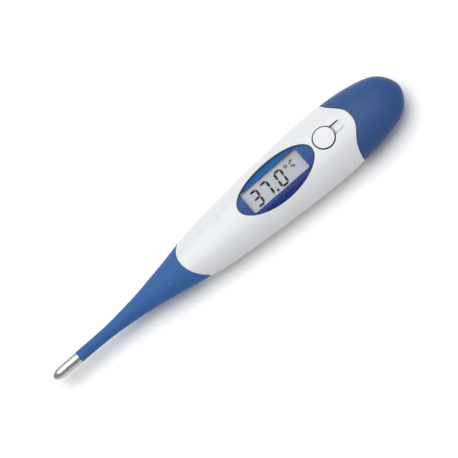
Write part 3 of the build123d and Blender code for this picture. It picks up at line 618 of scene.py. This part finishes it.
def form_rows(stations, insets):
    """Points of the outer form, a row for each station: (half width x cos, rise or drop x sin) of the turn,
    taken in by the row's inset. stations is one number a row, or one for each point of the row."""
    stations = np.asarray(stations, float)
    if stations.ndim == 1:
        stations = np.repeat(stations[:, None], AROUND, axis=1)
    inset = np.broadcast_to(np.asarray(insets, float).reshape(-1, 1), stations.shape)
    high = np.where(np.sin(turn) >= 0, along(2, stations), along(3, stations))
    y = (along(1, stations) - inset) * np.cos(turn)
    z = (high - inset) * np.sin(turn) + AXIS_HEIGHT / MM
    return np.stack([stations - HALF_LENGTH, y, z], axis=-1) * MM


def round_rows(stations, radii):
    """Circles about the long axis, a row for each station."""
    stations = np.repeat(np.asarray(stations, float)[:, None], AROUND, axis=1)
    radius = np.broadcast_to(np.asarray(radii, float).reshape(-1, 1), stations.shape)
    y = radius * np.cos(turn)
    z = radius * np.sin(turn) + AXIS_HEIGHT / MM
    return np.stack([stations - HALF_LENGTH, y, z], axis=-1) * MM


print(f"half width at station 40: {along(1, np.array([40.0]))[0]:.2f} mm")

# %% [markdown]
# A sleeve is a grid that closes on itself both ways: round the axis, and along the outside, over the
# rear end, back through the bore and over the front end. Edges sharper than 35 degrees stay crisp.

# %% Grid to mesh


def doubly_closed(name, points, finish):
    """Mesh of a grid of points, closed in both directions: point (r, c) is joined to (r, c+1), (r+1, c+1), (r+1, c)."""
    rows, columns = points.shape[:2]
    r, c = np.meshgrid(np.arange(rows), np.arange(columns), indexing="ij")
    r1, c1 = (r + 1) % rows, (c + 1) % columns
    quads = np.stack([r * columns + c, r * columns + c1, r1 * columns + c1, r1 * columns + c], axis=-1)
    mesh = bpy.data.meshes.new(name)
    mesh.from_pydata(points.reshape(-1, 3), [], quads.reshape(-1, 4))
    mesh.polygons.foreach_set("use_smooth", np.ones(rows * columns, bool))
    mesh.set_sharp_from_angle(angle=math.radians(35))
    mesh.materials.append(finishes[finish])
    piece = bpy.data.objects.new(name, mesh)
    bpy.context.scene.collection.objects.link(piece)
    return piece


BORE = 1.1  # wider than the frame's own bore, so that the bent leads have more room
ROW_STEP = 0.25


def sleeve(first, last):
    """Rows of a sleeve between two stations: the outer form, and back through the round bore."""
    count = int(round((last - first) / ROW_STEP)) + 1
    stations = np.linspace(first, last, count)
    return np.concatenate([form_rows(stations, 0.0 * stations), round_rows(stations[::-1], BORE)])


CUTS = [37.75 - 3.5 * n for n in range(8)]
for n, (rear, front) in enumerate(zip(CUTS, CUTS[1:])):
    skin = doubly_closed(f"probe_skin_{n + 1}", sleeve(front, rear), "blue_rubber")
    if n < 6:
        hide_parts(f"flexible_probe_link_{n + 1}")
    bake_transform(skin)
print(len(CUTS) - 1, "bending sleeves from station", CUTS[-1], "to", CUTS[0])

# %% [markdown]
# The end of the skin holds the steel cup: the rubber stops flush with the steel, and a thinner spigot
# goes on inside it. The root of the skin ends at the housing's round front seam, and goes on inside the
# housing as a neck with a groove, in which a flange of the housing sits so that the probe can't be
# pulled out. Both are the same kind of grid, with rows that step inwards.

# %% End and root of the probe skin
SPIGOT = 1.45
end_stations = np.linspace(9.27, CUTS[-1], 17)
end_rows = np.concatenate(
    [
        round_rows([6.5, 6.6, 9.27], [SPIGOT - 0.1, SPIGOT, SPIGOT]),
        round_rows([9.27], [1.62]),
        form_rows(end_stations + 0.05 * (end_stations < 9.3), 0.0 * end_stations),
        round_rows([CUTS[-1], 6.5], [BORE, BORE]),
    ]
)
probe_end = doubly_closed("probe_skin_end", end_rows, "blue_rubber")
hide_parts("flexible_probe_end")
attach(probe_end, "probe_end")

SEAM_RADIUS, SEAM_CENTRE, SEAM_GAP, SEAM_ROUND = 7.6, 55.5, 0.06, 0.2
seam = np.full(AROUND, 50.0)
for _ in range(30):
    across = along(1, seam) * np.cos(turn)
    seam = SEAM_CENTRE - np.sqrt(SEAM_RADIUS**2 - np.minimum(np.abs(across), 7.5) ** 2) - SEAM_GAP
outer_count = 56
share = np.linspace(0, 1, outer_count)[:, None]
outer = form_rows(CUTS[0] + (seam - SEAM_ROUND - CUTS[0]) * share, np.zeros(outer_count))
quarter = np.linspace(0, np.pi / 2, 6)[1:]
corner = form_rows(
    (seam - SEAM_ROUND) + SEAM_ROUND * np.sin(quarter)[:, None], SEAM_ROUND * (1 - np.cos(quarter))
)
NECK, GROOVE = 1.32, 2.12
neck = np.concatenate(
    [
        form_rows(np.stack([seam, np.full(AROUND, 54.5)]), [NECK, NECK]),
        form_rows([54.5, 56.0, 56.0, 58.0], [GROOVE, GROOVE, NECK, NECK]),
        round_rows([58.0, CUTS[0]], [BORE, BORE]),
    ]
)
root = doubly_closed("probe_skin_root", np.concatenate([outer, corner, neck]), "blue_rubber")
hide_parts("flexible_probe_root")
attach(root, "housing")
print(f"front seam from station {seam.min():.2f} to {seam.max():.2f}")

# %% [markdown]
# Gate mark. The rubber was shot into its mould on top of the wide part, a little to the near side, and
# the runner was broken off there. That leaves a shallow round scar, hardly paler than the skin. It is a
# low ring round a dimple: its height is the square of a sine of the distance from its middle.

# %% Gate mark
SCAR_STATION, SCAR_RADIUS = 42.0, 0.45
rings = np.linspace(0.02, 1, 9)[:, None]
sx = SCAR_STATION + SCAR_RADIUS * rings * np.cos(turn)
sy = SCAR_RADIUS * rings * np.sin(turn) - 2.3
top = along(2, sx) * np.sqrt(1 - (sy / along(1, sx)) ** 2)
lift = 0.028 * np.sin(np.pi * rings) ** 2 + 0.006
above = np.stack([sx - HALF_LENGTH, sy, top + lift + AXIS_HEIGHT / MM], axis=-1) * MM
below = np.stack([sx - HALF_LENGTH, sy, top - 0.05 + AXIS_HEIGHT / MM], axis=-1) * MM
scar_finish = Finish("gate_scar")
scar_grain = scar_finish.noise(6.0, detail=3.0)
scar_finish.set(
    Base_Color=scar_finish.colours(scar_grain, (0.031, 0.116, 0.325), (0.038, 0.134, 0.360)),
    Roughness=scar_finish.spread(scar_grain, 0.35, 0.5),
)
scar_finish.bumps((scar_grain, 0.004))
finishes["gate_scar"] = scar_finish.material
scar = doubly_closed("gate_mark", np.concatenate([below, above[::-1]]), "gate_scar")
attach(scar, "housing")
print("gate mark at station", SCAR_STATION)

# %% [markdown]
# Digits. A liquid-crystal display darkens one electrode at a time: seven six-sided bars to a digit, with
# hairline gaps between them, all leaning a little to the right. They are drawn as very thin plates on
# the polariser, which sits close enough above the liquid crystal for the eye. Each bar is a line with
# pointed ends: six points round the line from a to b.

# %% Digits
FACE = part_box("lcd_front_polariser")[1].z / MM + 0.002
INK = 0.02
LEAN = math.tan(math.radians(3.5))
BAR = 0.7
GAP = 0.07


def bar(start, end, width=BAR):
    """Six-sided bar from start to end: its two points, and four corners half a width to either side."""
    start, end = np.array(start, float), np.array(end, float)
    ahead = (end - start) / np.linalg.norm(end - start)
    beside = np.array([-ahead[1], ahead[0]]) * width / 2
    start, end = start + ahead * GAP, end - ahead * GAP
    inward = ahead * width / 2
    return np.array(
        [start, start + inward - beside, end - inward - beside, end, end - inward + beside, start + inward + beside]
    )


def seven_bars(lit, station, middle, width, height, thick):
    """Bars of one digit. a is the top, then clockwise b, c, d, e, f, and g is the middle one."""
    x0, x1 = station - width / 2 + thick / 2, station + width / 2 - thick / 2
    y0, y1 = middle - height / 2 + thick / 2, middle + height / 2 - thick / 2
    ends = {
        "a": ((x0, y1), (x1, y1)),
        "b": ((x1, middle), (x1, y1)),
        "c": ((x1, y0), (x1, middle)),
        "d": ((x0, y0), (x1, y0)),
        "e": ((x0, y0), (x0, middle)),
        "f": ((x0, middle), (x0, y1)),
        "g": ((x0, middle), (x1, middle)),
    }
    return [bar(*ends[letter], thick) for letter in lit]


def polygon(station, middle, width, sides):
    """Regular outline with so many sides."""
    a = np.linspace(0, 2 * np.pi, sides, endpoint=False) + np.pi / 4
    return np.stack([station + width / 2 * np.cos(a), middle + width / 2 * np.sin(a)], axis=-1)


outlines = seven_bars("abcdg", 76.1, 0.1, 2.85, 5.4, BAR)
outlines += seven_bars("abc", 79.8, 0.15, 2.85, 5.4, BAR)
outlines += seven_bars("abcdef", 84.9, 0.15, 2.85, 5.4, BAR)
outlines += [polygon(82.25, -2.05, 1.05, 4)]
outlines += seven_bars("adef", 89.85, 1.45, 1.7, 2.35, 0.52)
points, faces = [], []
for outline in outlines:
    sides = len(outline)
    base = len(points)
    x = outline[:, 0] + LEAN * outline[:, 1] - HALF_LENGTH
    for z in (FACE, FACE + INK):
        points += [(px * MM, py * MM, z * MM) for px, py in zip(x, outline[:, 1])]
    faces += [tuple(range(base + sides - 1, base - 1, -1)), tuple(range(base + sides, base + 2 * sides))]
    faces += [
        (base + i, base + (i + 1) % sides, base + sides + (i + 1) % sides, base + sides + i)
        for i in range(sides)
    ]
digits_mesh = bpy.data.meshes.new("display_digits")
digits_mesh.from_pydata(points, [], faces)
digits = bpy.data.objects.new("display_digits", digits_mesh)
bpy.context.scene.collection.objects.link(digits)
dark = Finish("liquid_crystal")
dark_grain = dark.noise(12.0, detail=2.0)
dark.set(
    Base_Color=dark.colours(dark_grain, (0.006, 0.006, 0.007), (0.011, 0.011, 0.013)),
    Roughness=dark.spread(dark_grain, 0.45, 0.6),
    Specular_IOR_Level=0.05,
)
dark.bumps((dark_grain, 0.001))
digits_mesh.materials.append(dark.material)
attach(digits, "housing")

degree_turn = np.linspace(0, 2 * np.pi, 24, endpoint=False)[:, None]
tube_turn = np.array([0.25, 0.75, 1.25, 1.75]) * np.pi
radius = 0.44 + 0.2 * np.cos(tube_turn)
degree = np.stack(
    [
        87.75 + LEAN * 1.95 - HALF_LENGTH + radius * np.cos(degree_turn),
        1.95 + radius * np.sin(degree_turn),
        FACE + INK / 2 + INK / 2 * np.sign(np.sin(tube_turn)) + 0 * degree_turn,
    ],
    axis=-1,
)
degree_ring = doubly_closed("display_degree", degree[::-1] * MM, "chip_resin")
degree_ring.data.materials.clear()
degree_ring.data.materials.append(dark.material)
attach(degree_ring, "housing")
print(len(outlines), "bars and dots")

# %% [markdown]
# Key arm. The key is moulded together with the housing, and hangs on a springy arm that bends at its
# root. In the frame the arm is a separate piece that stops just short of the shell. A thin web closes
# that slit. It lies in the bottom of the round groove that runs out towards the cap.

# %% Web at the root of the arm
GROOVE_RADIUS = 2.4
GROOVE_START, GROOVE_END = (104.0, 5.55), (109.2, 6.2)  # station, height above the long axis
WEB_HALF_WIDTH = 1.25
groove_slope = math.atan2(GROOVE_END[1] - GROOVE_START[1], GROOVE_END[0] - GROOVE_START[0])
ws, wy = np.meshgrid(
    np.linspace(107.0, 107.7, 6), np.linspace(-WEB_HALF_WIDTH, WEB_HALF_WIDTH, 21), indexing="ij"
)
groove_middle = GROOVE_START[1] + GROOVE_RADIUS + (ws - GROOVE_START[0]) * math.tan(groove_slope)
wz = groove_middle - np.sqrt(GROOVE_RADIUS**2 - wy**2) / math.cos(groove_slope) + AXIS_HEIGHT / MM
upper = np.stack([ws - HALF_LENGTH, wy, wz + 0.004], axis=-1) * MM
lower = np.stack([ws - HALF_LENGTH, wy, wz - 0.05], axis=-1) * MM
web_grid = np.concatenate([lower, upper[:, ::-1]], axis=1)
rows, columns = web_grid.shape[:2]
r, c = np.meshgrid(np.arange(rows - 1), np.arange(columns), indexing="ij")
c1 = (c + 1) % columns
quads = np.stack([r * columns + c, r * columns + c1, (r + 1) * columns + c1, (r + 1) * columns + c], axis=-1)
caps = [tuple(range(columns - 1, -1, -1)), tuple(range((rows - 1) * columns, rows * columns))]
web_mesh = bpy.data.meshes.new("arm_web")
web_mesh.from_pydata(web_grid.reshape(-1, 3), [], [tuple(q) for q in quads.reshape(-1, 4)] + caps)
web_mesh.polygons.foreach_set("use_smooth", np.ones(len(web_mesh.polygons), bool))
web_mesh.set_sharp_from_angle(angle=math.radians(35))
web_mesh.materials.append(finishes["white_shell"])
web = bpy.data.objects.new("arm_web", web_mesh)
bpy.context.scene.collection.objects.link(web)
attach(web, "housing")
print("web closes the slit at the root of the arm")

# %% [markdown]
# The visual model must keep the size of the frame, so both boxes are written down side by side.

# %% Sizes, and finish
visual_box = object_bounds()
for name, box in (("frame", cad_box), ("scene", visual_box)):
    print(name, [round(v / MM, 2) for corner in box for v in corner])
